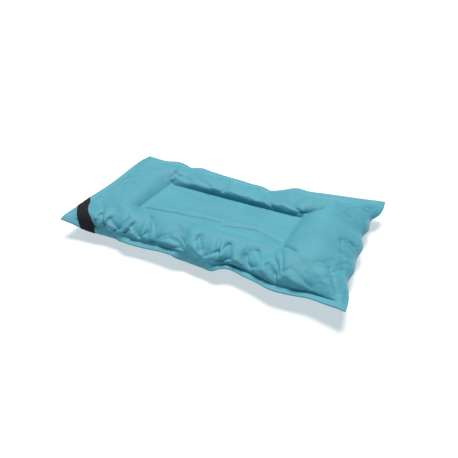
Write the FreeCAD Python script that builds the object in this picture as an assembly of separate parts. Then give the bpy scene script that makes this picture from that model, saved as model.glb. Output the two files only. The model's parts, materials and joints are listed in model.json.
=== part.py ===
"""Inflatable camp pillow: two coated-fabric panels welded round the rim and round a flat
central web, an elastic retaining strap over one corner, and a twist valve in the underside of
the strap's end.

Frame: millimetres, +Z up, +X along the pillow towards its plain end, -Y its front edge.
The origin is the centre of the pillow's footprint, on the surface that it lies on.
"""

import FreeCAD, Part
import math
import os

V = FreeCAD.Vector

# ---- Driving dimensions -------------------------------------------------------------
LENGTH = 490.0  # between the corner tips, blown up
WIDTH = 288.0
PULL_IN_SIDE = 9.0  # how far the middle of a long edge draws in as the pillow fills
PULL_IN_END = 13.0
RIM = 12.0  # welded border
WEB_LENGTH = 262.0  # flat central web, where the panels are welded together
WEB_WIDTH = 102.0
SEAM_Z = 34.0  # height of the rim and the web above the floor
SHEET = 0.8  # panel thickness

RISE_END = 34.0  # crown of the end lobes above the seam
RISE_SIDE = 27.0  # crown of the side tubes
RISE_CORNER = 24.0  # crown on the corner diagonals
FLAT_DEPTH = 4.0  # how much of the underside's crown is pressed flat on the floor

STRAP_WIDTH = 20.0
STRAP_THICK = 1.2
STRAP_REACH = 58.0  # from the corner tip to the strap, along each edge
STRAP_TAB = 11.0  # length sewn under or over the rim
STRAP_GAP = 0.9  # clear of the panels
STRAP_CREST = (17.5, 24.5)  # height of its outer and inner edge above the seam
STITCH_START = 2.0  # from the rim's edge
STITCH_LENGTH = 7.0
STITCH_THICK = 0.4

VALVE_ANGLE = 48.0  # of the valve's axis from straight down, on the end lobe's curve
VALVE_FLANGE_R = 13.0
VALVE_FLANGE_THICK = 1.2
VALVE_SLEEVE_R = 8.4  # soft sleeve of the flange, round the hard body
VALVE_BODY_R = 7.2
VALVE_BORE_R = 6.0
VALVE_DEPTH = 8.0  # of the body inside the panel
VALVE_POST_R = 2.4
VALVE_CAP_R = 8.2
VALVE_CAP_HEIGHT = 4.2
VALVE_GRIPS = 16
WELD_GAP = 0.05  # between the flange and the panel that it is welded to
RUNNING_GAP = 0.08  # radial clearance of the cap in the body
SEAL_GAP = 0.03  # of a seal against the wall that slides past it

HALF_L = LENGTH / 2
HALF_W = WIDTH / 2
WEB_X = WEB_LENGTH / 2
WEB_Y = WEB_WIDTH / 2
PRISM_Y = 25.0  # the end lobes run straight between -PRISM_Y and PRISM_Y


# ---- The ring of cross-sections -----------------------------------------------------
def draw_in(along, half, pull_in):
    """How far the outline is drawn in at this place on an edge of that half length."""
    return pull_in * (1 - (along / half) ** 2)


def rise(along, half, middle):
    """Height of the crown above the seam, from the corner's to the edge's middle."""
    return RISE_CORNER + (middle - RISE_CORNER) * (1 - (along / half) ** 2)


class Section:
    """One cross-section of the ring: rim edge, weld line, web edge and crown height."""

    def __init__(self, edge, weld, web, crown):
        self.edge = edge
        self.weld = weld
        self.web = web
        self.crown = crown


def long_side_section(x, web_x, side):
    y = HALF_W - draw_in(x, HALF_L, PULL_IN_SIDE)
    return Section(
        V(x, side * y, 0),
        V(x, side * (y - RIM), 0),
        V(web_x, side * WEB_Y, 0),
        rise(x, HALF_L, RISE_SIDE),
    )


def short_side_section(y, web_y, side):
    x = HALF_L - draw_in(y, HALF_W, PULL_IN_END)
    return Section(
        V(side * x, y, 0),
        V(side * (x - RIM), y, 0),
        V(side * WEB_X, web_y, 0),
        rise(y, HALF_W, RISE_END),
    )


def corner_section(sx, sy):
    return Section(
        V(sx * HALF_L, sy * HALF_W, 0),
        V(sx * (HALF_L - RIM), sy * (HALF_W - RIM), 0),
        V(sx * WEB_X, sy * WEB_Y, 0),
        RISE_CORNER,
    )


def ring_sections():
    """The sections in order, anticlockwise from the front left corner."""
    long_places = [(-150, -100), (-50, -50), (50, 50), (150, 100)]
    short_places = [(-85, -40), (-PRISM_Y, -PRISM_Y), (PRISM_Y, PRISM_Y), (85, 40)]
    ring = [corner_section(-1, -1)]
    ring += [long_side_section(x, w, -1) for x, w in long_places]
    ring += [corner_section(1, -1)]
    ring += [short_side_section(y, w, 1) for y, w in short_places]
    ring += [corner_section(1, 1)]
    ring += [long_side_section(-x, -w, 1) for x, w in long_places]
    ring += [corner_section(-1, 1)]
    ring += [short_side_section(-y, -w, -1) for y, w in short_places]
    return ring


def arc(a, middle, b):
    return Part.Arc(a, middle, b).toShape()


class Crown:
    """The circle that one panel follows in a section. Heights are away from the seam."""

    def __init__(self, section, top):
        self.across = (section.web - section.weld).normalize()
        self.middle = (section.weld + section.web) * 0.5
        half = (section.web - section.weld).Length / 2
        sagitta = top - SHEET
        self.radius = (half**2 + sagitta**2) / (2 * sagitta)
        self.centre = top - self.radius

    def turn_at(self, height, inset):
        """Angle from the crown at which the circle, inset by that much, has that height."""
        return math.acos((height - self.centre) / (self.radius - inset))

    def point(self, turn, inset, side):
        radius = self.radius - inset
        height = self.centre + radius * math.cos(turn)
        return self.middle + self.across * (radius * math.sin(turn)) + V(0, 0, side * height)

    def span(self, first, last, inset, side):
        """The circle's arc between two angles."""
        half_way = (first + last) / 2
        return arc(*[self.point(turn, inset, side) for turn in (first, half_way, last)])


def top_profile(section, inset):
    """The top panel in a section: one arc. inset 0 is the outside, SHEET the inside."""
    crown = Crown(section, section.crown)
    end = crown.turn_at(SHEET - inset, inset)
    return [crown.span(-end, end, inset, 1)]


def bottom_crown(section):
    return Crown(section, SEAM_Z + FLAT_DEPTH)


def bottom_profile(section, inset):
    """The bottom panel in a section: an arc, the strip pressed flat, and an arc."""
    crown = bottom_crown(section)
    end = crown.turn_at(SHEET - inset, inset)
    flat = crown.turn_at(SEAM_Z - inset, inset)
    pressed = Part.makeLine(crown.point(-flat, inset, -1), crown.point(flat, inset, -1))
    return [crown.span(-end, -flat, inset, -1), pressed, crown.span(flat, end, inset, -1)]


# ---- Panels -------------------------------------------------------------------------
def polygon_face(outer, holes=()):
    wires = [Part.makePolygon(points + [points[0]]) for points in [outer, *holes]]
    return Part.makeFace(Part.Compound(wires), "Part::FaceMakerBullseye")


def edge_start(edge):
    return edge.valueAt(edge.FirstParameter)


def edge_end(edge):
    return edge.valueAt(edge.LastParameter)


def skin(profiles):
    """Faces between neighbouring profiles. A strip that lies flat becomes one plane."""
    faces = []
    for k in range(len(profiles[0])):
        strips = [p[k] for p in profiles]
        if isinstance(strips[0].Curve, Part.Line):
            faces.append(polygon_face([edge_start(e) for e in strips], [[edge_end(e) for e in strips]]))
            continue
        for i, edge in enumerate(strips):
            faces.append(Part.makeRuledSurface(edge, strips[(i + 1) % len(strips)]))
    return faces


def panel(ring, profile, side):
    """A shell of SHEET thickness. side is 1 for the top panel and -1 for the bottom."""
    outside = [profile(s, 0.0) for s in ring]
    inside = [profile(s, SHEET) for s in ring]
    outer_z = V(0, 0, side * SHEET)
    edge_out = [s.edge + outer_z for s in ring]
    edge_in = [s.edge for s in ring]
    faces = skin(outside) + skin(inside)
    faces.append(polygon_face(edge_out, [[edge_start(p[0]) for p in outside]]))
    faces.append(polygon_face(edge_in, [[edge_start(p[0]) for p in inside]]))
    faces.append(polygon_face([edge_end(p[-1]) for p in outside]))
    faces.append(polygon_face([edge_end(p[-1]) for p in inside]))
    for i in range(len(ring)):
        j = (i + 1) % len(ring)
        faces.append(polygon_face([edge_in[i], edge_in[j], edge_out[j], edge_out[i]]))
    solid = Part.Solid(Part.Shell(faces))
    solid.fix(1e-4, 1e-4, 1e-3)
    solid.translate(V(0, 0, SEAM_Z))
    return solid


# ---- Valve --------------------------------------------------------------------------
END_SECTION = short_side_section(PRISM_Y, PRISM_Y, -1)
END_CROWN = bottom_crown(END_SECTION)
LOBE_RADIUS = END_CROWN.radius
LOBE_CENTRE = V(END_CROWN.middle.x, 0, SEAM_Z - END_CROWN.centre)
VALVE_AXIS = V(-math.sin(math.radians(VALVE_ANGLE)), 0, -math.cos(math.radians(VALVE_ANGLE)))
VALVE_SEAT = LOBE_CENTRE + VALVE_AXIS * LOBE_RADIUS  # on the panel's outside


def valve_disc(radius, low, high, hole=0.0):
    """A disc or ring on the valve's axis, between two heights above the panel."""
    base = VALVE_SEAT + VALVE_AXIS * low
    disc = Part.makeCylinder(radius, high - low, base, VALVE_AXIS)
    if hole:
        disc = disc.cut(Part.makeCylinder(hole, high - low + 2, base - VALVE_AXIS, VALVE_AXIS))
    return disc


def lobe_shell(outer, inner):
    """Part of the cylinder that the lobe's fabric follows, between two radii."""
    length = 2 * PRISM_Y
    start = LOBE_CENTRE - V(0, PRISM_Y, 0)
    outside = Part.makeCylinder(outer, length, start, V(0, 1, 0))
    return outside.cut(Part.makeCylinder(inner, length, start, V(0, 1, 0)))


def place_on_valve(shapes, height):
    """Moves shapes made about +Z so that they stand on the valve's axis."""
    turn = FreeCAD.Rotation(V(0, 0, 1), VALVE_AXIS)
    placed = []
    for shape in shapes:
        copy = shape.copy()
        copy.Placement = FreeCAD.Placement(VALVE_SEAT + VALVE_AXIS * height, turn).multiply(copy.Placement)
        placed.append(copy)
    return placed


def around_axis(shape, count):
    """Copies of a shape at equal turns about +Z."""
    copies = []
    for k in range(count):
        copy = shape.copy()
        copy.rotate(V(0, 0, 0), V(0, 0, 1), 360.0 * k / count)
        copies.append(copy)
    return copies


def valve_flange():
    """Soft moulding: a flange curved to the panel's inside and a sleeve for the body."""
    outer = LOBE_RADIUS - SHEET - WELD_GAP
    disc = valve_disc(VALVE_FLANGE_R, -VALVE_DEPTH, 0)
    flange = disc.common(lobe_shell(outer, outer - VALVE_FLANGE_THICK))
    sleeve = valve_disc(VALVE_SLEEVE_R, -VALVE_DEPTH, 0.3)
    return flange.fuse(sleeve).cut(valve_disc(VALVE_BODY_R, -VALVE_DEPTH - 1, 1)).removeSplitter()


# Heights on the valve's axis, above the panel's outside
BODY_TOP = 0.5
FLOOR_THICK = 1.2
CAP_BOTTOM = 0.8  # underside of the knob
CAP_WALL = 1.6  # thickness of the knob's face
POST_TOP = VALVE_CAP_HEIGHT - 0.3
POST_GROOVE = (POST_TOP - 1.2, POST_TOP - 0.3)
SKIRT_DEPTH = 5.6  # of the cap's skirt in the body
SKIRT_GROOVE = (-4.2, -2.8)
SKIRT_R = VALVE_BORE_R - RUNNING_GAP
GROOVE_R = SKIRT_R - 0.9
MOUTH_R = VALVE_POST_R + RUNNING_GAP
POST_GROOVE_R = VALVE_POST_R - 0.6
SEAL_SIDE_GAP = 0.1  # of a seal in its groove, along the axis


def valve_body():
    """Hard tube with vents in its floor and the post that plugs the cap's mouth hole."""
    tube = valve_disc(VALVE_BODY_R - WELD_GAP, -VALVE_DEPTH, BODY_TOP, VALVE_BORE_R)
    floor = valve_disc(VALVE_BODY_R - WELD_GAP, -VALVE_DEPTH, -VALVE_DEPTH + FLOOR_THICK)
    post = valve_disc(VALVE_POST_R, -VALVE_DEPTH, POST_TOP)
    vent = Part.makeBox(2.4, 2.4, 3, V(3.1, -1.2, -1))
    body = tube.fuse([floor, post])
    body = body.cut(place_on_valve(around_axis(vent, 4), -VALVE_DEPTH))
    groove = valve_disc(VALVE_POST_R + 1, *POST_GROOVE, POST_GROOVE_R)
    return body.cut(groove).removeSplitter()


def valve_post_seal():
    """Small ring in the post's groove, which closes the mouth hole."""
    low, high = POST_GROOVE
    return valve_disc(MOUTH_R - SEAL_GAP, low + SEAL_SIDE_GAP, high - SEAL_SIDE_GAP, POST_GROOVE_R)


def valve_cap():
    """Twist knob with a skirt in the body and a mouth hole on the post."""
    knob = valve_disc(VALVE_CAP_R, CAP_BOTTOM, VALVE_CAP_HEIGHT)
    skirt = valve_disc(SKIRT_R, -SKIRT_DEPTH, CAP_BOTTOM)
    cap = knob.fuse(skirt)
    cap = cap.cut(valve_disc(GROOVE_R - 1, -SKIRT_DEPTH - 1, VALVE_CAP_HEIGHT - CAP_WALL))
    cap = cap.cut(valve_disc(MOUTH_R, -SKIRT_DEPTH, VALVE_CAP_HEIGHT + 1))
    cap = cap.cut(valve_disc(VALVE_BORE_R + 1, *SKIRT_GROOVE, GROOVE_R))
    grip = Part.makeCylinder(0.7, VALVE_CAP_HEIGHT, V(VALVE_CAP_R + 0.25, 0, 0))
    return cap.cut(place_on_valve(around_axis(grip, VALVE_GRIPS), CAP_BOTTOM)).removeSplitter()


def valve_cap_seal():
    """O-ring in the skirt's groove, drawn as the bore squeezes it."""
    low, high = SKIRT_GROOVE
    return valve_disc(VALVE_BORE_R - SEAL_GAP, low + SEAL_SIDE_GAP, high - SEAL_SIDE_GAP, GROOVE_R + SEAL_GAP)


# ---- Strap --------------------------------------------------------------------------
class StrapFrame:
    """Where the strap crosses the rim, at one offset from its centre line."""

    def __init__(self, offset):
        reach = STRAP_REACH + offset * math.sqrt(2)
        x = -HALF_L + reach
        y = -HALF_W + reach
        self.on_end = V(-HALF_L + draw_in(y, HALF_W, PULL_IN_END), y, 0)
        self.on_side = V(x, -HALF_W + draw_in(x, HALF_L, PULL_IN_SIDE), 0)
        self.along = (self.on_side - self.on_end).normalize()


def strap_profile(offset, crest):
    """Closed outline of the strap: tab, fold round the rim, crest, fold and tab."""
    f = StrapFrame(offset)
    inner_z = SHEET + STRAP_GAP
    outer_z = inner_z + STRAP_THICK
    out = STRAP_GAP + STRAP_THICK
    middle = (f.on_end + f.on_side) * 0.5
    up = V(0, 0, 1)
    wire = []

    def fold(point, away):
        """Inner and outer corner points of the fold at one end."""
        return {
            "tab_in": point - away * STRAP_TAB - up * inner_z,
            "low_in": point + away * STRAP_GAP - up * inner_z,
            "high_in": point + away * STRAP_GAP + up * inner_z,
            "high_out": point + away * out + up * outer_z,
            "low_out": point + away * out - up * outer_z,
            "tab_out": point - away * STRAP_TAB - up * outer_z,
        }

    a = fold(f.on_end, f.along * -1)
    b = fold(f.on_side, f.along)
    line = Part.makeLine
    wire.append(line(a["tab_in"], a["low_in"]))
    wire.append(line(a["low_in"], a["high_in"]))
    wire.append(arc(a["high_in"], middle + up * crest, b["high_in"]))
    wire.append(line(b["high_in"], b["low_in"]))
    wire.append(line(b["low_in"], b["tab_in"]))
    wire.append(line(b["tab_in"], b["tab_out"]))
    wire.append(line(b["tab_out"], b["low_out"]))
    wire.append(line(b["low_out"], b["high_out"]))
    wire.append(arc(b["high_out"], middle + up * (crest + STRAP_THICK), a["high_out"]))
    wire.append(line(a["high_out"], a["low_out"]))
    wire.append(line(a["low_out"], a["tab_out"]))
    wire.append(line(a["tab_out"], a["tab_in"]))
    return Part.Wire(wire)


def strap():
    """Flat elastic over the top of the corner, its ends folded under the rim."""
    half = STRAP_WIDTH / 2
    outlines = [strap_profile(-half, STRAP_CREST[0]), strap_profile(half, STRAP_CREST[1])]
    band = Part.makeLoft(outlines, True, True)
    band.translate(V(0, 0, SEAM_Z))
    return band


def strap_stitches():
    """A bar tack under each sewn tab."""
    half = STRAP_WIDTH / 2 - 2
    sides = [StrapFrame(-half), StrapFrame(half)]
    level = V(0, 0, SEAM_Z - SHEET - STRAP_GAP - STRAP_THICK - STITCH_THICK)
    tacks = []
    for end in ("on_end", "on_side"):
        rows = []
        for depth in (STITCH_START, STITCH_START + STITCH_LENGTH):
            inward = depth if end == "on_end" else -depth
            rows.append([getattr(f, end) + f.along * inward + level for f in sides])
        tacks.append(polygon_face(rows[0] + rows[1][::-1]).extrude(V(0, 0, STITCH_THICK)))
    return Part.makeCompound(tacks)


# ---- Build --------------------------------------------------------------------------
def build():
    ring = ring_sections()
    hole = valve_disc(VALVE_SLEEVE_R + WELD_GAP, -VALVE_DEPTH, VALVE_DEPTH)
    parts = {
        "top_panel": panel(ring, top_profile, 1),
        "bottom_panel": panel(ring, bottom_profile, -1).cut(hole),
        "retaining_strap": strap(),
        "strap_stitches": strap_stitches(),
        "valve_flange": valve_flange(),
        "valve_body": valve_body(),
        "valve_post_seal": valve_post_seal(),
        "valve_cap": valve_cap(),
        "valve_cap_seal": valve_cap_seal(),
    }
    os.makedirs("parts", exist_ok=True)
    for name, shape in parts.items():
        shape.exportStep(f"parts/{name}.step")
        state = "valid" if shape.isValid() else "NOT VALID"
        print(name, state, f"{shape.Volume / 1000:.2f} cm3,", len(shape.Solids), "solid(s)")
    ends = StrapFrame(0.0)
    print("valve seat", VALVE_SEAT, "axis", VALVE_AXIS)
    print("strap ends", ends.on_end, ends.on_side, "at height", SEAM_Z)


build()
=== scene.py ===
"""Looks of the inflatable camp pillow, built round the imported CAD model, in metres.

The two coated-fabric panels are blown up by a cloth simulation between their welded border and
their welded web. Softening, gathers, folds and creases follow as plain geometry. The strap is
laid over the finished skin.
"""

import json
import math

import bpy
import numpy as np
from mathutils import Matrix, Vector
from mathutils.bvhtree import BVHTree


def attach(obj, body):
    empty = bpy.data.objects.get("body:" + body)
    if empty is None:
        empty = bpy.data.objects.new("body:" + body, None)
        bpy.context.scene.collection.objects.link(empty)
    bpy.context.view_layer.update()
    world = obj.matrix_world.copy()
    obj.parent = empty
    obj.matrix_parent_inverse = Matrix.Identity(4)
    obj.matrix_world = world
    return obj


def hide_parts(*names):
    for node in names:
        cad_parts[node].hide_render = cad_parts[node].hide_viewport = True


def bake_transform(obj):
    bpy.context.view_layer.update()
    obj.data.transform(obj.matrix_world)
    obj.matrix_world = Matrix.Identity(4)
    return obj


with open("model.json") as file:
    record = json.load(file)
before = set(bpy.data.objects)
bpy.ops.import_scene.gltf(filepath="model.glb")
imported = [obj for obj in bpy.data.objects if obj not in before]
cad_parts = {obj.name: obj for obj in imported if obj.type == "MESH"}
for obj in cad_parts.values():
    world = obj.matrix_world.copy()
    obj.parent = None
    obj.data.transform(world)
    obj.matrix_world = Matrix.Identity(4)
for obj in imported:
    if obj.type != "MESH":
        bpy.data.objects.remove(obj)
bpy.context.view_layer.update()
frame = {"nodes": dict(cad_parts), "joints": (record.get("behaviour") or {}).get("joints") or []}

MM = 0.001
JOINTS = {joint["name"]: joint for joint in frame["joints"]}
SEAM_Z = JOINTS["strap_flip"]["pos_m"][2]  # height of the border and the web
VALVE_SEAT = Vector(JOINTS["valve_cap_lift"]["pos_m"])
VALVE_AXIS = Vector(JOINTS["valve_cap_lift"]["axis"]).normalized()

# ---- Cut pattern of one panel, laid flat ---------------------------------------------
PATTERN_X = 0.2555  # half its length
PATTERN_Y = 0.1495
RIM = 0.012
WEB_X = 0.131
WEB_Y = 0.051
WELD_X = PATTERN_X - RIM
WELD_Y = PATTERN_Y - RIM
CELL = 0.0037
RIM_CELLS = 3
SHEET = 0.0008
WEB_SHIFT = (-0.006, -0.014)  # the web ends up a little off centre

# ---- Blown shape: the border's outer edge, in mm from the centre of the seam plane ----
# About half of these points were read off the photo by a program that fitted the camera.
FRONT_EDGE = [  # x, y, z
    (-246, -144, 0), (-225, -142, -3), (-207, -141, -6), (-165, -141, -6), (-135, -141, -6),
    (-122, -141, -9),
    (-86, -138, -12), (-50, -137, -9), (-12, -139, -7), (28, -142, -6), (46, -139, -9),
    (58, -131, -9), (92, -132, -11), (115, -137, -10), (137, -143, -9), (165, -141, -9),
    (191, -138, -7), (220, -142, -4), (245, -146, 0),
]
REAR_EDGE = [
    (-250, 132, -11), (-228, 131, -12), (-208, 130, -12), (-176, 138, -12), (-158, 133, -12),
    (-141, 127, -12), (-128, 134, -12), (-98, 131, -12), (-67, 127, -12), (-35, 126, -13),
    (-4, 124, -14), (21, 124, -15), (35, 121, -17), (46, 122, -15), (59, 126, -12),
    (84, 132, -5), (108, 131, -5), (147, 133, -2), (175, 136, -1), (213, 143, -1), (245, 148, 0),
]
LEFT_EDGE = [  # y, x, z
    (-144, -246, 0), (-95, -245, -1), (-68, -243, 0), (-27, -240, 0), (16, -241, -1),
    (64, -243, -1), (100, -246, -4), (118, -248, -8), (132, -250, -11),
]
RIGHT_EDGE = [
    (-146, 245, 0), (-124, 246, 1), (-105, 246, 2), (-78, 239, 1), (-58, 242, 1),
    (-22, 239, 1), (8, 242, 1), (42, 235, 0), (60, 240, 0), (90, 238, 0), (117, 245, -2),
    (133, 246, -2), (148, 245, 0),
]
# Where the rim is turned down: place along the edge in mm, and the angle in degrees.
FRONT_TURN = [(-250, 10), (-215, 25), (-180, 40), (-165, 62), (-136, 62), (-120, 10), (-30, 5),
              (-15, 55), (25, 60), (38, 40), (50, 0), (250, 0)]
RIGHT_TURN = [(-150, 0), (-125, 35), (-105, 60), (100, 60), (125, 15), (150, 0)]
CROWN_TOP = {"front": 0.013, "rear": 0.018, "left": 0.011, "right": 0.018}
CORNER_FLAT = 0.45  # share of the crown that is lost in the corners
CROWN_UNDER = {"front": 0.021, "rear": 0.021, "left": 0.023, "right": 0.025}
WEB_RISE = (0.005, -0.002)  # height of the web's front and rear weld above the seam
SLACK_X = 0.028  # how much longer the panel is than the space it is blown up in
SLACK_Y = 0.020
SLACK_REACH = (0.150, 0.075)  # beyond this place the slack grows no more

# Small bulges that the panels start with, so that they gather as they are blown up: start and
# end along the weld in mm, height in mm, and reach as a share of the tube.
FRONT_GATHERS = [
    (-224, -200, 1.2, 0.45), (-194, -170, 2.0, 0.60), (-167, -145, 2.0, 0.50),
    (-142, -123, 1.8, 0.45), (-119, -97, 2.2, 0.55), (-74, -12, 2.2, 0.42), (-9, 16, 2.6, 0.60),
    (34, 60, 2.4, 0.50), (61, 93, 2.6, 0.50), (103, 138, 2.8, 0.48), (146, 184, 2.0, 0.50),
]
REAR_GATHERS = [
    (-215, -180, 1.0, 0.4), (-176, -146, 1.2, 0.4), (-134, -104, 1.2, 0.4), (-98, -62, 1.2, 0.4),
    (-56, -20, 1.2, 0.4), (-12, 28, 1.2, 0.4), (48, 90, 1.4, 0.4), (98, 140, 1.0, 0.3),
    (146, 186, 1.0, 0.3),
]
END_GATHERS = [
    (-94, -76, 0.8, 0.25), (-70, -48, 0.8, 0.22), (-42, -26, 0.9, 0.28), (-18, 6, 0.8, 0.22),
    (12, 36, 1.0, 0.26), (44, 58, 0.8, 0.25), (64, 88, 1.0, 0.28),
]
REAR_WEB_GATHERS = [
    (-128, -96, 1.6, 0.50), (-92, -52, 1.6, 0.45), (-48, -12, 1.4, 0.50), (-6, 34, 1.8, 0.45),
    (42, 74, 1.8, 0.60), (80, 118, 1.8, 0.50),
]
GATHER_LEAN = 0.55  # the front gathers run up the tube to the left
GATHER_LIFT = 0.35  # how much of a gather's bulge is upward

# The line where a tube turns from steep to shallow, which runs up and down with the gathers:
# place along the pattern in mm, and distance from the weld in mm. Most of the front one's points
# were read off the photo by a program.
FRONT_KINK = [
    (-225, 2), (-205, 9), (-195, 13), (-184, 28), (-178, 8), (-165, 27), (-157, 15), (-142, 6),
    (-131, 9), (-124, 14), (-116, 27), (-105, 14), (-98, 6), (-87, 18), (-82, 10), (-72, 17),
    (-61, 9), (-46, 17), (-31, 14), (-20, 7), (-9, 12), (-2, 22), (6, 30), (11, 27), (20, 13),
    (29, 7), (39, 15), (46, 21), (50, 8), (58, 26), (63, 9), (72, 15), (83, 24), (88, 23),
    (92, 11), (101, 5), (113, 15), (120, 18), (131, 25), (135, 15), (142, 9), (149, 4),
    (155, 19), (165, 28), (172, 25), (180, 19), (191, 12), (203, 8), (225, 2),
]
REAR_KINK = [
    (-138, 2), (-128, 30), (-112, 15), (-96, 11), (-80, 17), (-66, 12), (-40, 20), (-24, 14),
    (-6, 22), (14, 17), (30, 24), (44, 14), (62, 24), (72, 11), (90, 20), (108, 13), (122, 26),
    (138, 2),
]
FRONT_STEEPNESS = 0.66  # how far the line stands out, as a share of its distance
REAR_STEEPNESS = 0.50
KINK_MOST = 21.0  # mm; a higher kink line stands out no further than this one does
CREASE_MOST = 0.0045  # no crease is deeper, even where several meet
KINK_FADE = 30.0  # mm beyond the line over which the tube returns to its plain shape

FRAMES = 26
PIN_FRAMES = 14
PRESSURE = 4.0
FLOOR_CLEAR = 0.0002
FLOOR_SOFT = 0.002  # height over which the underside flattens towards the floor
KINK_LEAN = 0.25  # how far a front gather leans along the tube, as a share of its distance
KINK_LIFT = 0.04  # how much of the move outward is also upward
CRUMPLES = ((46.0, 0.55), (26.0, 0.3), (15.0, 0.12))  # mm: size and height of the small creases
CRUMPLE_WAVES = 5  # rows of creases of each size, each at an angle of its own
VALVE_LOBE_RADIUS = 0.04545  # of the round that the valve's flange is bent to
VALVE_SEATED = 0.016  # round the valve, the panel follows the flange fully up to here
VALVE_FREE = 0.040  # and not at all beyond here
VALVE_SIDE = 0.03  # how deep above and below the seat the panel is looked for
VALVE_HOLE = 0.00845


def through(points, at):
    """A smooth curve through a row of points, whose first number is where each one lies."""
    table = np.array(points, float)
    along, values = table[:, 0], table[:, 1:]
    slopes = np.gradient(values, along, axis=0)
    at = np.clip(at, along[0], along[-1])
    k = np.clip(np.searchsorted(along, at, side="right") - 1, 0, len(along) - 2)
    span = along[k + 1] - along[k]
    t = ((at - along[k]) / span)[..., None]
    span = span[..., None]
    start = (1 + 2 * t) * (1 - t) ** 2 * values[k] + t * (1 - t) ** 2 * span * slopes[k]
    end = t**2 * (3 - 2 * t) * values[k + 1] + t**2 * (t - 1) * span * slopes[k + 1]
    return start + end


def smooth_step(low, high, value):
    t = np.clip((value - low) / (high - low), 0, 1)
    return t * t * (3 - 2 * t)


# ---- Pattern grid --------------------------------------------------------------------
def pattern_lines(half, web):
    """Grid lines across the pattern, with one on each weld."""
    weld = half - RIM
    stops = [-half, -weld, -web, web, weld, half]
    lines = []
    for low, high in zip(stops, stops[1:]):
        count = RIM_CELLS if high - low < RIM + 1e-6 else round((high - low) / CELL)
        lines.extend(np.linspace(low, high, count, endpoint=False))
    return np.array(lines + [half])


def refine(grid):
    """A grid with twice the cells each way, on a cubic curve through the given points."""
    for axis in (0, 1):
        rows = np.moveaxis(grid, axis, 0)
        longer = np.concatenate([2 * rows[:1] - rows[1:2], rows, 2 * rows[-1:] - rows[-2:-1]])
        fine = np.empty((2 * len(rows) - 1,) + rows.shape[1:])
        fine[::2] = rows
        fine[1::2] = (9 * (rows[:-1] + rows[1:]) - longer[:-3] - longer[3:]) / 16
        grid = np.moveaxis(fine, 0, axis)
    return grid


LINES_X = pattern_lines(PATTERN_X, WEB_X)
LINES_Y = pattern_lines(PATTERN_Y, WEB_Y)
PX, PY = np.meshgrid(LINES_X, LINES_Y, indexing="ij")


def ring_shares(px, py):
    """How far out between the web's weld, 0, and the border's, 1, along x and along y."""
    ring_x = (np.abs(px) - WEB_X) / (WELD_X - WEB_X)
    ring_y = (np.abs(py) - WEB_Y) / (WELD_Y - WEB_Y)
    return ring_x, ring_y


RING_X, RING_Y = ring_shares(PX, PY)
RING = np.maximum(RING_X, RING_Y)
ON_SIDE = smooth_step(-0.2, 0.2, RING_Y - RING_X)  # 1 on the long tubes, 0 on the ends
FREE = (RING > 1e-6) & (RING < 1 - 1e-6)


def border_at(x, y):
    """Where a point of the pattern near the border lies once the pillow is blown up."""
    u = (x / PATTERN_X + 1) / 2
    v = (y / PATTERN_Y + 1) / 2

    def long_edge(points):
        place = points[0][0] + (points[-1][0] - points[0][0]) * u
        yz = through(points, place)
        return np.stack([place, yz[..., 0], yz[..., 1]], -1)

    def short_edge(points):
        place = points[0][0] + (points[-1][0] - points[0][0]) * v
        xz = through(points, place)
        return np.stack([xz[..., 0], place, xz[..., 1]], -1)

    front, rear = long_edge(FRONT_EDGE), long_edge(REAR_EDGE)
    left, right = short_edge(LEFT_EDGE), short_edge(RIGHT_EDGE)
    corners = [np.array(points, float) for points in (
        FRONT_EDGE[0], FRONT_EDGE[-1], REAR_EDGE[0], REAR_EDGE[-1])]
    u, v = u[..., None], v[..., None]
    blend = (1 - v) * front + v * rear + (1 - u) * left + u * right
    blend -= (1 - u) * (1 - v) * corners[0] + u * (1 - v) * corners[1]
    blend -= (1 - u) * v * corners[2] + u * v * corners[3]
    return blend * MM


def turn_rim_down(shape):
    """Tilts the rim down from its weld where the real one is turned under."""
    for table, axis, pattern, weld, side in (
            (FRONT_TURN, 1, PY, WELD_Y, -1), (RIGHT_TURN, 0, PX, WELD_X, 1)):
        along = shape[..., 1 - axis] / MM
        angle = np.radians(np.interp(along, [row[0] for row in table], [row[1] for row in table]))
        beyond = np.maximum(side * pattern - weld, 0)
        shape[..., axis] -= side * beyond * (1 - np.cos(angle))
        shape[..., 2] -= beyond * np.sin(angle)


def blown_shape():
    """The welded lines where they end up, and between them the mean surface of the chamber."""
    ring = np.clip(RING, 0, 1)
    safe = np.maximum(ring, 1e-6)
    inner_x = np.clip(PX, -WEB_X, WEB_X)
    inner_y = np.clip(PY, -WEB_Y, WEB_Y)
    outer_x = np.where(RING > 1, PX, inner_x + (PX - inner_x) / safe)
    outer_y = np.where(RING > 1, PY, inner_y + (PY - inner_y) / safe)
    border = border_at(outer_x, outer_y)
    rise = np.interp(inner_y, (-WEB_Y, WEB_Y), WEB_RISE)
    web = np.stack([inner_x + WEB_SHIFT[0], inner_y + WEB_SHIFT[1], rise], -1)
    share = ring[..., None]
    shape = web * (1 - share) + border * share
    turn_rim_down(shape)
    return shape


def bulges(rows, along, from_weld):
    """Height in metres of a row of gathers, at a place along the weld and a share of the tube."""
    total = np.zeros_like(along)
    for start, end, depth, reach in rows:
        q = np.clip((along - start) / (end - start), 0, 1)
        across = np.sin(math.pi * q**1.25) ** 0.8
        up = smooth_step(0.0, 0.10, from_weld) * (1 - smooth_step(0.10, reach, from_weld))
        total += depth * MM * across * up
    return total


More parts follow.
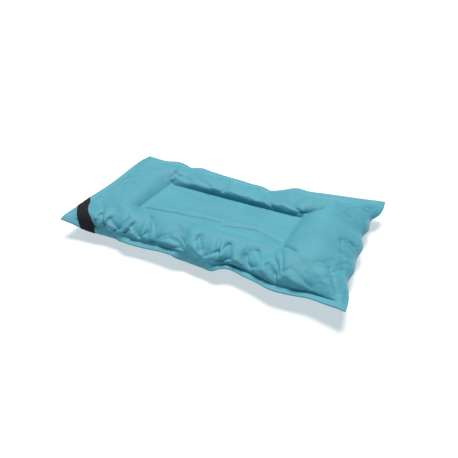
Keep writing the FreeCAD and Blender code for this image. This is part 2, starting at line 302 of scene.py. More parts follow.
def gather_moves(shape):
    """How far each point of a panel starts out of the plain tube, in x and y and outward."""
    x, y = shape[..., 0] / MM, shape[..., 1] / MM
    from_border = 1 - RING
    front = bulges(FRONT_GATHERS, x + GATHER_LEAN * (y + 122), from_border) * (PY < 0)
    rear = bulges(REAR_GATHERS, x, from_border) * (PY > 0)
    rear_web = bulges(REAR_WEB_GATHERS, x - 0.3 * y, RING) * (PY > 0)
    front, rear, rear_web = (side * ON_SIDE for side in (front, rear, rear_web))
    ends = bulges(END_GATHERS, y, from_border) * (1 - ON_SIDE)
    total = front + rear + ends + rear_web
    return np.sign(PX) * ends, rear - front - rear_web, GATHER_LIFT * total


def crown_heights(crowns):
    """How far a panel starts above or below the mean surface."""
    on_side = np.where(PY < 0, crowns["front"], crowns["rear"])
    on_end = np.where(PX < 0, crowns["left"], crowns["right"])
    crown = on_side * ON_SIDE + on_end * (1 - ON_SIDE)
    corner = smooth_step(0.60, 0.95, np.abs(PX) / PATTERN_X)
    corner = corner * smooth_step(0.50, 0.95, np.abs(PY) / PATTERN_Y)
    crown = crown * (1 - CORNER_FLAT * corner)
    ring = np.clip(RING, 0, 1)
    return np.where(FREE, crown * (1 - (2 * ring - 1) ** 2), 0)


def starting_shapes():
    """Top and bottom panel before the simulation, and the welded lines' last place."""
    final = blown_shape()
    ring = np.clip(RING, 0, 1)
    slack_x = SLACK_X * ring * np.clip(final[..., 0], -SLACK_REACH[0], SLACK_REACH[0])
    slack_y = SLACK_Y * ring * np.clip(final[..., 1], -SLACK_REACH[1], SLACK_REACH[1])
    noise = np.random.default_rng(7).normal(0, 0.00015, (2,) + PX.shape)
    out_x, out_y, out_z = gather_moves(final)
    sheets = []
    for side, crowns, jitter in ((1, CROWN_TOP, noise[0]), (-1, CROWN_UNDER, noise[1])):
        sheet = final.copy()
        sheet[..., 0] += slack_x + out_x * FREE
        sheet[..., 1] += slack_y + out_y * FREE
        sheet[..., 2] += side * (crown_heights(crowns) + out_z * FREE) + jitter * FREE
        sheets.append(sheet)
    return sheets, final


# ---- Cloth simulation ----------------------------------------------------------------
def chamber_cells():
    """True for each cell of the grid between the two weld lines."""
    middle = (RING[:-1, :-1] + RING[1:, 1:] + RING[1:, :-1] + RING[:-1, 1:]) / 4
    return (middle > 1e-6) & (middle < 1)


def quads(index, cells, flip):
    """Corner numbers of the chosen cells of a grid."""
    a, b = index[:-1, :-1][cells], index[1:, :-1][cells]
    c, d = index[1:, 1:][cells], index[:-1, 1:][cells]
    loop = [a, d, c, b] if flip else [a, b, c, d]
    return np.stack(loop, -1)


def blow_up():
    """Top and bottom panel, as grids of points, blown up between the welded lines."""
    (top, bottom), final = starting_shapes()
    count = PX.size
    top_index = np.arange(count).reshape(PX.shape)
    bottom_index = top_index.copy()
    bottom_index[FREE] = count + np.arange(FREE.sum())
    points = np.concatenate([top.reshape(-1, 3), bottom[FREE]])
    goal = np.concatenate([final.reshape(-1, 3), bottom[FREE]])
    cells = chamber_cells()
    every = np.ones_like(cells)
    faces = np.concatenate([quads(top_index, every, False), quads(bottom_index, cells, True)])
    mesh = bpy.data.meshes.new("blown_up")
    mesh.from_pydata(points.tolist(), [], faces.tolist())
    cloth = bpy.data.objects.new("blown_up", mesh)
    bpy.context.scene.collection.objects.link(cloth)
    cloth.shape_key_add(name="slack")
    taut = cloth.shape_key_add(name="taut")
    taut.data.foreach_set("co", goal.ravel())
    taut.value = 0
    taut.keyframe_insert("value", frame=1)
    taut.value = 1
    taut.keyframe_insert("value", frame=PIN_FRAMES)
    welded = cloth.vertex_groups.new(name="welded")
    welded.add(top_index[~FREE].tolist(), 1.0, "REPLACE")
    set_up_cloth(cloth)
    for step in range(1, FRAMES + 1):
        bpy.context.scene.frame_set(step)
    blown = cloth.evaluated_get(bpy.context.evaluated_depsgraph_get()).data
    result = np.empty(len(points) * 3)
    blown.vertices.foreach_get("co", result)
    result = result.reshape(-1, 3)
    bpy.data.objects.remove(cloth)
    bpy.data.meshes.remove(mesh)
    bpy.context.scene.frame_set(1)
    return result[top_index], result[bottom_index]


def set_up_cloth(cloth):
    """A light, coated cloth under air pressure, held at its welds."""
    modifier = cloth.modifiers.new("air", "CLOTH")
    settings = modifier.settings
    settings.quality = 8
    settings.mass = 0.05
    settings.tension_stiffness = 60
    settings.compression_stiffness = 60
    settings.shear_stiffness = 12
    settings.bending_stiffness = 0.02
    settings.tension_damping = 1
    settings.compression_damping = 1
    settings.shear_damping = 1
    settings.bending_damping = 0.3
    settings.vertex_group_mass = "welded"
    settings.use_pressure = True
    settings.uniform_pressure_force = PRESSURE
    settings.effector_weights.gravity = 0
    modifier.collision_settings.use_collision = False
    modifier.point_cache.frame_start = 1
    modifier.point_cache.frame_end = FRAMES


# ---- Folds pressed into the skin -------------------------------------------------------
# Each fold: a line of plan points in mm, its half width in mm, and its height in mm. Some of the
# points, and most of those of the creases below, were read off the photo by a program.
WEB_FOLDS = [
    ([(-130, -60), (-91, -55), (-74, -51), (-45, -49), (-19, -44), (9, -44)], 2.4, -3.2),
    ([(-24, -53), (5, -53), (46, -42), (70, -38), (90, -44), (119, -53)], 2.4, -3.2),
    ([(-120, -50), (-70, -42), (-20, -34), (30, -31), (80, -30), (118, -40)], 5.0, 1.2),
    ([(-126, 34), (-86, 23), (-45, 12), (-7, 3)], 4.0, -1.4),
    ([(-120, 22), (-80, 12), (-40, 2), (10, -6)], 5.0, 1.0),
    ([(75, -22), (95, -10), (114, 0)], 2.2, -0.7),
    ([(81, -33), (100, -24), (118, -15)], 2.2, -0.7),
    ([(98, -40), (112, -35), (126, -29)], 2.0, -0.6),
    ([(-60, 20), (10, 8), (60, -2)], 6.0, 0.8),
]
# Creases sunk into the top panel's tubes, along lines of the cut pattern.
TUBE_CREASES = [
    ([(-185, -108), (-177, -113), (-170, -125)], 3.0, -3.4),  # front, left of the middle
    ([(-187, -118), (-181, -127), (-174, -134)], 2.6, -2.6),
    ([(-163, -110), (-165, -121), (-170, -132)], 2.8, -3.0),
    ([(-163, -110), (-154, -120), (-142, -128)], 2.6, -3.0),
    ([(-138, -124), (-144, -132), (-152, -136)], 2.4, -2.4),
    ([(-118, -105), (-120, -115), (-126, -126)], 2.8, -3.2),
    ([(-118, -105), (-111, -115), (-101, -126)], 2.8, -3.2),
    ([(-138, -124), (-133, -111), (-127, -96)], 3.0, -1.8),
    ([(-129, -130), (-116, -117)], 2.2, -1.8),
    ([(-89, -115), (-91, -119), (-98, -128)], 2.4, -2.6),
    ([(-89, -115), (-92, -100), (-98, -77)], 2.2, -1.7),
    ([(-74, -111), (-79, -98), (-85, -92)], 2.2, -1.5),
    ([(-77, -128), (-57, -129), (-37, -129), (-15, -126)], 2.6, -2.6),
    ([(-66, -122), (-54, -111), (-46, -107)], 2.4, -1.8),
    ([(-52, -117), (-44, -112), (-33, -116), (-18, -123)], 2.6, -2.4),
    ([(-24, -111), (-12, -118)], 2.2, -2.0),
    ([(4, -92), (10, -104), (18, -118)], 2.8, -4.0),  # front, right of the middle
    ([(6, -94), (2, -104), (-4, -115)], 2.4, -1.6),
    ([(45, -111), (50, -118), (51, -129)], 2.4, -3.4),
    ([(45, -111), (39, -111), (33, -119), (26, -127)], 2.2, -2.4),
    ([(51, -129), (59, -126), (66, -120)], 3.0, -3.6),
    ([(55, -94), (61, -108), (66, -120)], 2.4, -3.0),
    ([(55, -94), (51, -101), (46, -110)], 2.2, -1.6),
    ([(36, -88), (39, -104)], 2.4, -1.4),
    ([(87, -105), (92, -118), (101, -125), (111, -115)], 2.4, -2.8),
    ([(70, -74), (74, -87)], 2.2, -1.3),
    ([(101, -86), (111, -99)], 2.4, -2.6),
    ([(127, -106), (135, -114), (143, -121)], 2.6, -3.0),
    ([(126, -72), (135, -98), (152, -115)], 2.4, -2.6),
    ([(138, -72), (148, -92), (153, -106)], 2.4, -2.4),
    ([(153, -106), (163, -100), (172, -106), (185, -117), (200, -126)], 2.6, -1.8),
    ([(72, -55), (89, -55), (103, -55), (129, -54)], 2.4, -2.2),  # beside the web
    ([(131, -48), (145, -58), (159, -70)], 3.0, -3.4),
    ([(-88, -62), (-72, -64), (-52, -59)], 2.6, -1.8),
    ([(-48, -66), (-24, -70), (-4, -74), (20, -68)], 3.0, -1.6),
    ([(-131, 56), (-138, 78), (-144, 104)], 3.2, -3.0),  # rear
    ([(-138, 78), (-124, 80), (-98, 70)], 2.6, -2.2),
    ([(-116, 98), (-82, 80), (-52, 70)], 3.0, -2.4),
    ([(-72, 124), (-54, 112), (-28, 106)], 2.6, -2.0),
    ([(-31, 112), (-20, 83), (-22, 66)], 2.8, -2.6),
    ([(30, 108), (50, 85), (76, 59)], 2.8, -3.0),
    ([(42, 90), (83, 75)], 2.4, -2.0),
    ([(-20, 132), (0, 122), (22, 107)], 2.8, -2.0),
    ([(88, 90), (111, 74), (125, 64)], 2.8, -2.6),
    ([(127, 60), (142, 60), (163, 62)], 3.4, -4.0),
    ([(205, 60), (228, 57), (240, 50)], 2.8, -2.2),  # right end
    ([(217, -11), (230, -57), (239, -80)], 2.8, -2.0),
    ([(222, -7), (238, -11)], 2.2, -1.6),
    ([(217, -87), (228, -112), (236, -126)], 2.8, -2.4),
    ([(216, 24), (236, 12)], 2.2, -1.6),
    ([(222, -38), (238, -46)], 2.2, -1.6),
    ([(208, 116), (226, 113), (240, 117)], 2.6, -2.0),
    ([(216, 98), (238, 101)], 2.2, -1.6),
]


def fold_height(folds, x, y):
    """Summed height of the folds at plan points."""
    total = np.zeros_like(x)
    for line, width, height in folds:
        nearest = np.full(x.shape, np.inf)
        for (ax, ay), (bx, by) in zip(line, line[1:]):
            dx, dy = bx - ax, by - ay
            length = math.hypot(dx, dy)
            q = np.clip(((x - ax) * dx + (y - ay) * dy) / length**2, 0, 1)
            nearest = np.minimum(nearest, np.hypot(x - ax - q * dx, y - ay - q * dy))
        total += height * np.exp(-((nearest / width) ** 1.25))
    return total


def kink_bulge(table, along, distance):
    """0 to 1: flat facets from the weld up to the kink line and back down beyond it."""
    height = np.interp(along, [row[0] for row in table], [row[1] for row in table])
    below = distance / height
    above = 1 - (distance - height) / (KINK_FADE + 0.4 * height)
    return np.minimum(height, KINK_MOST) * np.clip(np.minimum(below, above), 0, 1)


def steepen(top, px, py):
    """Stands the gathered foot of the front tube, and the rear tube's inner face, steeper."""
    ring_x, ring_y = ring_shares(px, py)
    tube = (WELD_Y - WEB_Y) / MM
    on_side = smooth_step(-0.02, 0.10, ring_y - ring_x)
    front_distance = np.clip(1 - ring_y, 0, 1) * tube
    lean = px / MM + KINK_LEAN * front_distance
    front = kink_bulge(FRONT_KINK, lean, front_distance) * FRONT_STEEPNESS * (py < 0)
    rear_distance = np.clip(ring_y, 0, 1) * tube
    rear = kink_bulge(REAR_KINK, px / MM, rear_distance) * REAR_STEEPNESS * (py > 0)
    top[..., 1] -= (front + rear) * on_side * MM
    top[..., 2] += KINK_LIFT * (front + rear) * on_side * MM


def press_folds(top, bottom, ring, free):
    """Folds across the web, which move both panels."""
    x, y = top[..., 0] / MM, top[..., 1] / MM
    inside = 1 - smooth_step(0.0, 0.5, ring)
    web = fold_height(WEB_FOLDS, x, y) * MM * inside
    top[..., 2] += web
    bottom[..., 2] += np.where(free, web * 0.3, web)


def press_creases(top, px, py, free):
    """Creases sink into the top panel at right angles to it."""
    along_x = np.gradient(top, axis=0)
    along_y = np.gradient(top, axis=1)
    outward = np.cross(along_x, along_y)
    outward /= np.linalg.norm(outward, axis=-1, keepdims=True)
    ring = np.maximum(*ring_shares(px, py))
    near_weld = smooth_step(0.0, 0.05, ring) * smooth_step(0.0, 0.05, 1 - ring)
    depth = fold_height(TUBE_CREASES, px / MM, py / MM) * MM * near_weld * free
    top += np.maximum(depth, -CREASE_MOST)[..., None] * outward


def crumple(sheet, ring, free, seed):
    """Small creases all over: flat facets between sharp lines, in three sizes."""
    random = np.random.default_rng(seed)
    x, y = sheet[..., 0] / MM, sheet[..., 1] / MM
    total = np.zeros_like(x)
    for size, height in CRUMPLES:
        for _ in range(CRUMPLE_WAVES):
            angle = random.uniform(0, math.pi)
            phase = random.uniform(0, 1)
            bend = size * 0.35 * np.sin((x * math.sin(angle + 1.1) + y * math.cos(angle + 1.1))
                                        / (size * 0.9) + random.uniform(0, 6))
            across = (x * math.cos(angle) + y * math.sin(angle) + bend) / size + phase
            total += height / CRUMPLE_WAVES * (1 - 4 * np.abs(across - np.round(across)))
    strength = np.where(free, 1.0, 0.35) * (1 - smooth_step(0.97, 1.0, ring))
    sheet[..., 2] += total * MM * strength


def soften(sheet, rounds=14, strength=0.72):
    """Takes the fine lumps of the simulation out of the tubes, but keeps the border's gathers."""
    soft = sheet.copy()
    for _ in range(rounds):
        around = (soft[:-2, 1:-1] + soft[2:, 1:-1] + soft[1:-1, :-2] + soft[1:-1, 2:]) / 4
        free = FREE[1:-1, 1:-1, None]
        soft[1:-1, 1:-1] = np.where(free, 0.4 * soft[1:-1, 1:-1] + 0.6 * around, soft[1:-1, 1:-1])
    gathered = smooth_step(0.55, 0.85, RING) * (1 - ON_SIDE)
    sheet += (strength * (1 - 0.6 * gathered))[..., None] * (soft - sheet)


def rest_on_floor(bottom):
    """The underside is pressed flat where it would sink into the floor."""
    low = -SEAM_Z + SHEET + FLOOR_CLEAR
    start = low + FLOOR_SOFT
    deep = np.minimum(bottom[..., 2] - start, 0)
    pressed = start - FLOOR_SOFT * (1 - np.exp(deep / FLOOR_SOFT))
    bottom[..., 2] = np.where(deep < 0, pressed, bottom[..., 2])


def seat_valve(bottom, free):
    """The panel follows the valve's flange, which is round an axis along Y."""
    centre = VALVE_SEAT - VALVE_AXIS * VALVE_LOBE_RADIUS
    centre_x, centre_z = centre.x, centre.z - SEAM_Z
    seat = np.array(VALVE_SEAT) - [0, 0, SEAM_Z]
    axis = np.array(VALVE_AXIS)
    offset = bottom - seat
    along = offset @ axis
    radius = np.linalg.norm(offset - along[..., None] * axis, axis=-1)
    near = (1 - smooth_step(VALVE_SEATED, VALVE_FREE, radius)) * (np.abs(along) < VALVE_SIDE) * free
    dx, dz = bottom[..., 0] - centre_x, bottom[..., 2] - centre_z
    reach = np.hypot(dx, dz)
    scale = (VALVE_LOBE_RADIUS - SHEET) / np.maximum(reach, 1e-6)
    bottom[..., 0] += near * dx * (scale - 1)
    bottom[..., 2] += near * dz * (scale - 1)


# ---- Helpers -------------------------------------------------------------------------
def new_object(name, points, faces, smooth=True):
    mesh = bpy.data.meshes.new(name)
    mesh.from_pydata([tuple(p) for p in points], [], [tuple(int(k) for k in f) for f in faces])
    mesh.update()
    mesh.polygons.foreach_set("use_smooth", [smooth] * len(mesh.polygons))
    piece = bpy.data.objects.new(name, mesh)
    bpy.context.scene.collection.objects.link(piece)
    return piece


def apply_modifiers(piece):
    graph = bpy.context.evaluated_depsgraph_get()
    made = bpy.data.meshes.new_from_object(piece.evaluated_get(graph))
    old = piece.data
    piece.modifiers.clear()
    piece.data = made
    bpy.data.meshes.remove(old)


# ---- Skin ----------------------------------------------------------------------------
def panel_piece(name, sheet, px, py, top, material):
    """One panel: a thin closed sheet with cloth coordinates in its UV map."""
    index = np.arange(px.size).reshape(px.shape)
    every = np.ones((px.shape[0] - 1, px.shape[1] - 1), bool)
    faces = quads(index, every, not top)
    piece = new_object(name, sheet.reshape(-1, 3) + [0, 0, SEAM_Z], faces)
    layer = piece.data.uv_layers.new(name="cloth")
    flat = np.stack([px.ravel(), py.ravel()], -1)
    layer.data.foreach_set("uv", flat[faces.ravel()].ravel())
    piece.data.materials.append(material)
    thick = piece.modifiers.new("sheet", "SOLIDIFY")
    thick.thickness = SHEET
    thick.offset = 1
    apply_modifiers(piece)
    return piece


def cut_valve_hole(piece):
    """A round hole in the underside for the valve's sleeve."""
    bpy.ops.mesh.primitive_cylinder_add(vertices=64, radius=VALVE_HOLE, depth=0.02,
                                        location=VALVE_SEAT)
    cutter = bpy.context.object
    cutter.rotation_euler = VALVE_AXIS.to_track_quat("Z", "Y").to_euler()
    cut = piece.modifiers.new("hole", "BOOLEAN")
    cut.operation = "DIFFERENCE"
    cut.object = cutter
    cut.solver = "EXACT"
    apply_modifiers(piece)
    bpy.data.objects.remove(cutter)


# ---- Strap ----------------------------------------------------------------------------
STRAP_WIDTH = 0.020
STRAP_THICK = 0.0012
STRAP_TAB = 0.011  # length sewn under the rim
STRAP_CLEAR = 0.0004
STRAP_PROFILES = 17  # lines across it along which it is laid over the skin
STRAP_LINES = 33  # across the band; every second one is a raised rib
RIB = 0.00012
STRAP_BOW = 0.005  # its middle lies this much nearer the corner than its ends
STRAP_END_LEFT = Vector((-0.244, -0.083, 0))  # where its middle goes round the rim
STRAP_END_FRONT = Vector((-0.190, -0.141, 0))
STRAP_SPAN = (STRAP_END_FRONT - STRAP_END_LEFT).length
UP = Vector((0, 0, 1))


def skin_trees(top_piece, bottom_piece):
    """Both panels, ready to be looked up by height."""
    graph = bpy.context.evaluated_depsgraph_get()
    return [BVHTree.FromObject(piece, graph) for piece in (top_piece, bottom_piece)]


def height_of(tree, place, from_above):
    """Height of the skin over a plan point, or None where there is none."""
    start = Vector((place.x, place.y, 0.2 if from_above else -0.2))
    hit = tree.ray_cast(start, -UP if from_above else UP)[0]
    return None if hit is None else hit.z


def taut_heights(ts, heights):
    """Heights of an elastic pulled straight over a row of points."""
    hull = []
    for t, z in zip(ts, heights):
        while len(hull) > 1:
            (t0, z0), (t1, z1) = hull[-2], hull[-1]
            if (z1 - z0) * (t - t0) > (z - z0) * (t1 - t0):
                break
            hull.pop()
        hull.append((t, z))
    return np.interp(ts, [h[0] for h in hull], [h[1] for h in hull])


def strap_directions():
    """Along the strap from its left end, and outward to the corner, both level."""
    along = (STRAP_END_FRONT - STRAP_END_LEFT).normalized()
    return along, Vector((along.y, -along.x, 0))


def strap_place(offset, t):
    """Plan point of the strap: offset across it from its middle, t along it from the left end."""
    along, outward = strap_directions()
    bow = STRAP_BOW * math.sin(math.pi * min(max(t / STRAP_SPAN, 0), 1))
    return STRAP_END_LEFT + along * t + outward * (offset + bow)


def strap_profile(trees, offset):
    """One line of the strap: its path from tab to tab, as (t, z) pairs in metres."""
    top_tree, bottom_tree = trees
    ts = np.arange(-0.020, STRAP_SPAN + 0.020, 0.0005)
    found = [height_of(top_tree, strap_place(offset, t), True) for t in ts]
    on = [k for k, z in enumerate(found) if z is not None]
    ts = ts[on[0]:on[-1] + 1]
    heights = np.array([z if z is not None else -1.0 for z in found[on[0]:on[-1] + 1]])
    heights = taut_heights(ts, heights) + STRAP_CLEAR
    over = np.linspace(ts[0], ts[-1], 70)
    path = list(zip(over, np.interp(over, ts, heights)))

    def tab(edge, inward):
        places = [edge + inward * STRAP_TAB * k / 8 for k in range(9)]
        under = [height_of(bottom_tree, strap_place(offset, t), False) for t in places]
        known = [z for z in under if z is not None]
        under = [z if z is not None else known[0] for z in under]
        outside = edge - inward * 0.0007
        turn = [(outside, min(under[0], path[0 if inward > 0 else -1][1]) - STRAP_CLEAR)]
        turn.append((outside, path[0 if inward > 0 else -1][1]))
        return [(t, z - STRAP_CLEAR) for t, z in zip(places, under)][::-1] + turn

    return tab(ts[0], 1) + path + tab(ts[-1], -1)[::-1]


def strap_grid(trees):
    """Points on the strap's inner face: lines along it, side by side across it."""
    offsets = np.linspace(-STRAP_WIDTH / 2, STRAP_WIDTH / 2, STRAP_PROFILES)
    coarse = np.array([strap_profile(trees, offset) for offset in offsets])
    heights = coarse[..., 1]
    smooth = heights.copy()
    for _ in range(3):
        spread = np.pad(smooth, ((1, 1), (0, 0)), mode="edge")
        smooth = np.maximum(heights, (spread[:-2] + spread[1:-1] + spread[2:]) / 3)
    middle = slice(11, -11)
    coarse[:, middle, 1] = smooth[:, middle]
    fine = np.linspace(-STRAP_WIDTH / 2, STRAP_WIDTH / 2, STRAP_LINES)
    grid = []
    for k, offset in enumerate(fine):
        place = np.interp(offset, offsets, range(STRAP_PROFILES))
        low = min(int(place), STRAP_PROFILES - 2)
        share = place - low
        line = coarse[low] * (1 - share) + coarse[low + 1] * share
        rib = RIB * (k % 2)
        grid.append([strap_place(offset, t) + UP * (z + rib) for t, z in line])
    return grid


def strap_piece(trees, material):
    grid = np.array(strap_grid(trees))
    index = np.arange(grid.shape[0] * grid.shape[1]).reshape(grid.shape[:2])
    every = np.ones((grid.shape[0] - 1, grid.shape[1] - 1), bool)
    faces = quads(index, every, False)
    piece = new_object("strap", grid.reshape(-1, 3), faces)
    steps = np.linalg.norm(np.diff(grid[grid.shape[0] // 2], axis=0), axis=1)
    lengthwise = np.concatenate([[0], np.cumsum(steps)])
    crosswise = np.linspace(0, STRAP_WIDTH, grid.shape[0])
    v, u = np.meshgrid(lengthwise, crosswise)
    layer = piece.data.uv_layers.new(name="band")
    flat = np.stack([u.ravel(), v.ravel()], -1)
    layer.data.foreach_set("uv", flat[faces.ravel()].ravel())
    piece.data.materials.append(material)
    if piece.data.polygons[len(faces) // 2].normal.z < 0:
        piece.data.flip_normals()
    thick = piece.modifiers.new("band", "SOLIDIFY")
    thick.thickness = STRAP_THICK
    thick.offset = 1
    apply_modifiers(piece)
    return piece


# ---- Stitches --------------------------------------------------------------------------
THREAD_RADIUS = 0.00022
TACK_START = 0.0025  # from the fold
TACK_LENGTH = 0.006
TACK_TURNS = 22


def thread_along(path, name, material):
    """A thin round thread through the points of each path."""
    points, faces = [], []
    sides = 6
    for line in path:
        base = len(points)
        for k, place in enumerate(line):
            ahead = (line[min(k + 1, len(line) - 1)] - line[max(k - 1, 0)]).normalized()
            side = ahead.cross(UP).normalized()
            top = side.cross(ahead)
            for turn in range(sides):
                angle = 2 * math.pi * turn / sides
                points.append(place + (side * math.cos(angle) + top * math.sin(angle))
                              * THREAD_RADIUS)
        for k in range(len(line) - 1):
            for turn in range(sides):
                a = base + k * sides + turn
                b = base + k * sides + (turn + 1) % sides
                faces.append((a, b, b + sides, a + sides))
        faces.append(tuple(base + turn for turn in reversed(range(sides))))
        last = base + (len(line) - 1) * sides
        faces.append(tuple(last + turn for turn in range(sides)))
    piece = new_object(name, points, faces)
    piece.data.materials.append(material)
    return piece


def tack_lines(strap):
    """A zigzag bar tack under each of the strap's tabs."""
    tree = BVHTree.FromObject(strap, bpy.context.evaluated_depsgraph_get())
    along, outward = strap_directions()
    lines = []
    for end, inward in ((STRAP_END_LEFT, along), (STRAP_END_FRONT, -along)):
        line = []
        half = STRAP_WIDTH / 2 - 0.002
        for k in range(TACK_TURNS + 1):
            across = -half + 2 * half * k / TACK_TURNS
            depth = TACK_START + (TACK_LENGTH if k % 2 else 0)
            place = end + outward * across + inward * depth
            z = height_of(tree, place, False)
            if z is not None:
                line.append(Vector((place.x, place.y, z - THREAD_RADIUS * 0.5)))
        lines.append(line)
    return lines


# ---- Materials -----------------------------------------------------------------------
class Nodes:
    """A material's node tree, with short ways to add nodes and link them."""

    def __init__(self, name):
        self.material = bpy.data.materials.new(name)
        self.material.use_nodes = True
        self.tree = self.material.node_tree
        self.shader = self.tree.nodes["Principled BSDF"]

    def add(self, kind, **inputs):
        node = self.tree.nodes.new(kind)
        for name, value in inputs.items():
            self.set(node, name.replace("_", " "), value)
        return node

    def set(self, node, name, value):
        socket = node.inputs[name]
        if isinstance(value, bpy.types.NodeSocket):
            self.tree.links.new(value, socket)
        else:
            socket.default_value = value

    def math(self, operation, *values):
        node = self.tree.nodes.new("ShaderNodeMath")
        node.operation = operation
        for k, value in enumerate(values):
            self.set(node, k, value)
        return node.outputs[0]

    def noise(self, where, scale, detail=2.0, stretch=None):
        if stretch:
            where = self.scaled(where, stretch)
        node = self.add("ShaderNodeTexNoise", Vector=where, Scale=scale, Detail=detail)
        return node.outputs["Fac"]

    def scaled(self, where, scale):
        node = self.add("ShaderNodeMapping", Vector=where, Scale=scale)
        return node.outputs["Vector"]

    def wave(self, where, scale, direction, distortion=0.0):
        node = self.add("ShaderNodeTexWave", Vector=where, Scale=scale, Distortion=distortion)
        node.bands_direction = direction
        return node.outputs["Fac"]

    def ramp(self, fac, stops):
        """stops: (place, colour) pairs."""
        node = self.add("ShaderNodeValToRGB", Fac=fac)
        ramp = node.color_ramp
        while len(ramp.elements) < len(stops):
            ramp.elements.new(0.5)
        for element, (place, colour) in zip(ramp.elements, stops):
            element.position = place
            element.color = (*colour, 1)
        return node.outputs["Color"]

    def ranged(self, fac, low, high):
        node = self.add("ShaderNodeMapRange", Value=fac, To_Min=low, To_Max=high)
        return node.outputs["Result"]

    def bump(self, height, strength, distance, under=None):
        node = self.add("ShaderNodeBump", Height=height, Strength=strength, Distance=distance)
        if under is not None:
            self.set(node, "Normal", under)
        return node.outputs["Normal"]

    def uv(self, name):
        node = self.tree.nodes.new("ShaderNodeUVMap")
        node.uv_map = name
        return node.outputs["UV"]

    def object_place(self):
        return self.tree.nodes.new("ShaderNodeTexCoord").outputs["Object"]


def fabric_material():
    """Coated plain-weave polyester: fine ribs both ways, soft mottling and a satin sheen."""
    n = Nodes("panel_fabric")
    cloth = n.uv("cloth")
    place = n.object_place()
    mottle = n.noise(place, 22.0, 4.0)
    streaks = n.noise(cloth, 60.0, 3.0, stretch=(0.25, 3.0, 1.0))
    threads_x = n.wave(cloth, 500.0, "X", 0.4)
    threads_y = n.wave(cloth, 500.0, "Y", 0.4)
    weave = n.math("MULTIPLY", threads_x, threads_y)
    tone = n.math("ADD", n.math("MULTIPLY", mottle, 0.6), n.math("MULTIPLY", streaks, 0.25))
    tone = n.math("ADD", tone, n.math("MULTIPLY", weave, 0.25))
    colour = n.ramp(tone, [(0.25, (0.062, 0.300, 0.372)), (0.55, (0.078, 0.344, 0.412)),
                           (0.85, (0.103, 0.398, 0.465))])
    n.set(n.shader, "Base Color", colour)
    n.set(n.shader, "Roughness", n.ranged(mottle, 0.50, 0.62))
    n.shader.inputs["Sheen Weight"].default_value = 0.15
    n.shader.inputs["Sheen Roughness"].default_value = 0.5
    n.shader.inputs["Specular IOR Level"].default_value = 0.35
    crumple = n.noise(place, 95.0, 5.0)
    fine = n.noise(cloth, 240.0, 3.0, stretch=(0.5, 1.6, 1.0))
    normal = n.bump(crumple, 0.35, 0.0012)
    normal = n.bump(fine, 0.25, 0.0004, normal)
    normal = n.bump(weave, 0.30, 0.0002, normal)
    n.set(n.shader, "Normal", normal)
    return n.material


def elastic_material():
    """Black ribbed elastic: dark ribs along it, fine crossing threads, a few stray fibres."""
    n = Nodes("elastic")
    band = n.uv("band")
    ribs = n.wave(band, 250.0, "X")
    picks = n.wave(band, 600.0, "Y", 0.5)
    knit = n.math("MULTIPLY", ribs, picks)
    lint = n.noise(n.object_place(), 900.0, 3.0)
    wear = n.noise(n.object_place(), 60.0, 3.0)
    tone = n.math("ADD", n.math("MULTIPLY", knit, 0.5), n.math("MULTIPLY", wear, 0.35))
    tone = n.math("ADD", tone, n.math("MULTIPLY", lint, 0.15))
    n.set(n.shader, "Base Color", n.ramp(tone, [
        (0.2, (0.004, 0.004, 0.005)), (0.6, (0.009, 0.009, 0.010)), (0.9, (0.020, 0.020, 0.022))]))
    n.set(n.shader, "Roughness", n.ranged(knit, 0.72, 0.9))
    n.shader.inputs["Sheen Weight"].default_value = 0.03
    n.shader.inputs["Specular IOR Level"].default_value = 0.25
    normal = n.bump(ribs, 0.5, 0.0003)
    normal = n.bump(picks, 0.4, 0.00015, normal)
    normal = n.bump(lint, 0.15, 0.0001, normal)
    n.set(n.shader, "Normal", normal)
    return n.material


def thread_material():
    """Black polyester sewing thread with a twist."""
    n = Nodes("thread")
    place = n.object_place()
    twist = n.wave(place, 1400.0, "DIAGONAL", 1.0)
    fuzz = n.noise(place, 1500.0, 3.0)
    n.set(n.shader, "Base Color", n.ramp(twist, [
        (0.1, (0.010, 0.010, 0.012)), (0.9, (0.035, 0.036, 0.040))]))
    n.set(n.shader, "Roughness", n.ranged(fuzz, 0.45, 0.65))
    n.set(n.shader, "Normal", n.bump(twist, 0.6, 0.0001))
    return n.material


def moulded_material(name, dark, light, rough, grain=700.0, depth=0.00012):
    """Moulded plastic or rubber: a fine grain, soft mottling and slightly worn gloss."""
    n = Nodes(name)
    place = n.object_place()
    mottle = n.noise(place, 120.0, 3.0)
    fine = n.noise(place, grain, 4.0)
    scuffs = n.noise(place, 260.0, 5.0, stretch=(1.0, 4.0, 1.0))
    tone = n.math("ADD", n.math("MULTIPLY", mottle, 0.6), n.math("MULTIPLY", fine, 0.4))
    n.set(n.shader, "Base Color", n.ramp(tone, [(0.3, dark), (0.7, light)]))
    n.set(n.shader, "Roughness", n.ranged(scuffs, rough - 0.08, rough + 0.10))
    normal = n.bump(fine, 0.4, depth)
    normal = n.bump(scuffs, 0.15, depth / 2, normal)
    n.set(n.shader, "Normal", normal)
    return n.material


def skin_shapes():
    """Both panels as fine grids of points, with the pattern place of each point."""
    top, bottom = blow_up()
    soften(top)
    soften(bottom)
    top, bottom, px, py = (refine(grid) for grid in (top, bottom, PX, PY))
    ring = np.maximum(*ring_shares(px, py))
    free = (ring > 1e-6) & (ring < 1 - 1e-6)
    steepen(top, px, py)
    press_folds(top, bottom, ring, free)
    press_creases(top, px, py, free)
    crumple(top, ring, free, 3)
    crumple(bottom, ring, free, 5)
    bottom = np.where(free[..., None], bottom, top)
    seat_valve(bottom, free)
    rest_on_floor(bottom)
    return top, bottom, px, py


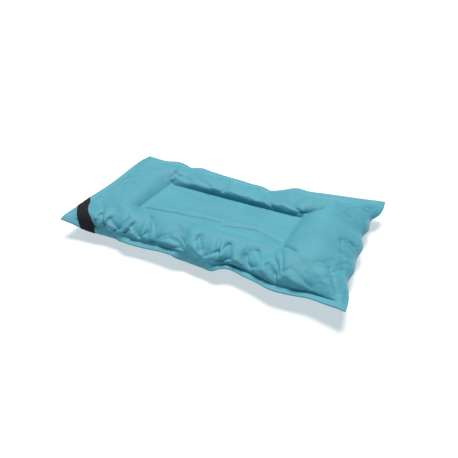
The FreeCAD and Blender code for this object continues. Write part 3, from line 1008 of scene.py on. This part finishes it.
def skin():
    top, bottom, px, py = skin_shapes()
    fabric = fabric_material()
    top_piece = panel_piece("top_skin", top, px, py, True, fabric)
    bottom_piece = panel_piece("bottom_skin", bottom, px, py, False, fabric)
    cut_valve_hole(bottom_piece)
    for piece, node in ((top_piece, "top_panel"), (bottom_piece, "bottom_panel")):
        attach(piece, "pillow")
        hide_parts(node)
    return top_piece, bottom_piece


def strap_and_stitches(top_piece, bottom_piece):
    strap = strap_piece(skin_trees(top_piece, bottom_piece), elastic_material())
    stitches = thread_along(tack_lines(strap), "stitches", thread_material())
    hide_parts("retaining_strap")
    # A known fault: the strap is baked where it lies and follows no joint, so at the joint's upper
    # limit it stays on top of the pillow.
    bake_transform(strap)
    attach(stitches, "pillow")
    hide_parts("strap_stitches")


def valve_looks():
    """The valve's CAD parts keep their shape and get finished materials."""
    soft = moulded_material("valve_soft", (0.045, 0.10, 0.12), (0.07, 0.14, 0.16), 0.5, 500.0)
    hard = moulded_material("valve_hard", (0.012, 0.013, 0.015), (0.026, 0.028, 0.031), 0.42)
    seal = moulded_material("seal", (0.10, 0.10, 0.10), (0.16, 0.16, 0.155), 0.62, 400.0, 0.0001)
    looks = {"valve_flange": soft, "valve_body": hard, "valve_cap": hard,
             "valve_post_seal": seal, "valve_cap_seal": seal}
    for name, material in looks.items():
        slots = frame["nodes"][name].material_slots
        for slot in slots:
            slot.material = material


# ---- Camera, floor and light ---------------------------------------------------------
def camera():
    """The photo's viewing angle: 26 degrees to the right of the front, 36 above the floor."""
    azimuth, elevation = math.radians(25.66), math.radians(36.22)
    target = Vector((0.0276, -0.0477, SEAM_Z))
    distance = 0.7314
    back = Vector((math.sin(azimuth) * math.cos(elevation),
                   -math.cos(azimuth) * math.cos(elevation), math.sin(elevation)))
    right = Vector((math.cos(azimuth), math.sin(azimuth), 0))
    data = bpy.data.cameras.new("camera")
    data.sensor_width = 36
    data.lens = 34.9
    data.clip_start = 0.01
    eye = bpy.data.objects.new("camera", data)
    matrix = Matrix((right, back.cross(right), back)).transposed().to_4x4()
    matrix.translation = target + back * distance
    eye.matrix_world = matrix
    bpy.context.scene.collection.objects.link(eye)
    bpy.context.scene.camera = eye


def floor():
    """A pale table lit a little from within, so that the shadow on it stays pale too."""
    bpy.ops.mesh.primitive_plane_add(size=8)
    ground = bpy.context.object
    ground.name = "floor"
    n = Nodes("floor")
    n.shader.inputs["Base Color"].default_value = (0.62, 0.62, 0.62, 1)
    n.shader.inputs["Emission Color"].default_value = (1.0, 0.99, 0.98, 1)
    n.shader.inputs["Emission Strength"].default_value = 0.50
    n.shader.inputs["Roughness"].default_value = 0.9
    n.shader.inputs["Specular IOR Level"].default_value = 0.1
    ground.data.materials.append(n.material)


def soft_sun(name, towards_light, strength, colour):
    """A very wide sun: soft shadows and an evenly lit floor."""
    data = bpy.data.lights.new(name, "SUN")
    data.angle = math.radians(30)
    data.energy = strength
    data.color = colour
    lamp = bpy.data.objects.new(name, data)
    lamp.rotation_euler = Vector(towards_light).to_track_quat("Z", "Y").to_euler()
    bpy.context.scene.collection.objects.link(lamp)


def lights():
    """A blue fill from the world, a near-white backdrop for the camera, and one warm key."""
    world = bpy.data.worlds.new("world")
    world.use_nodes = True
    tree = world.node_tree
    light = tree.nodes["Background"]
    light.inputs["Color"].default_value = (0.34, 0.68, 1.0, 1)
    light.inputs["Strength"].default_value = 0.27
    backdrop = tree.nodes.new("ShaderNodeBackground")
    backdrop.inputs["Color"].default_value = (0.95, 0.96, 0.97, 1)
    seen = tree.nodes.new("ShaderNodeLightPath")
    mix = tree.nodes.new("ShaderNodeMixShader")
    tree.links.new(seen.outputs["Is Camera Ray"], mix.inputs["Fac"])
    tree.links.new(light.outputs["Background"], mix.inputs[1])
    tree.links.new(backdrop.outputs["Background"], mix.inputs[2])
    tree.links.new(mix.outputs["Shader"], tree.nodes["World Output"].inputs["Surface"])
    bpy.context.scene.world = world
    soft_sun("key", (-0.30, 0.72, 1.9), 3.75, (1.0, 0.985, 0.95))
    bpy.context.scene.view_settings.view_transform = "Standard"


strap_and_stitches(*skin())
valve_looks()
camera()
floor()
lights()
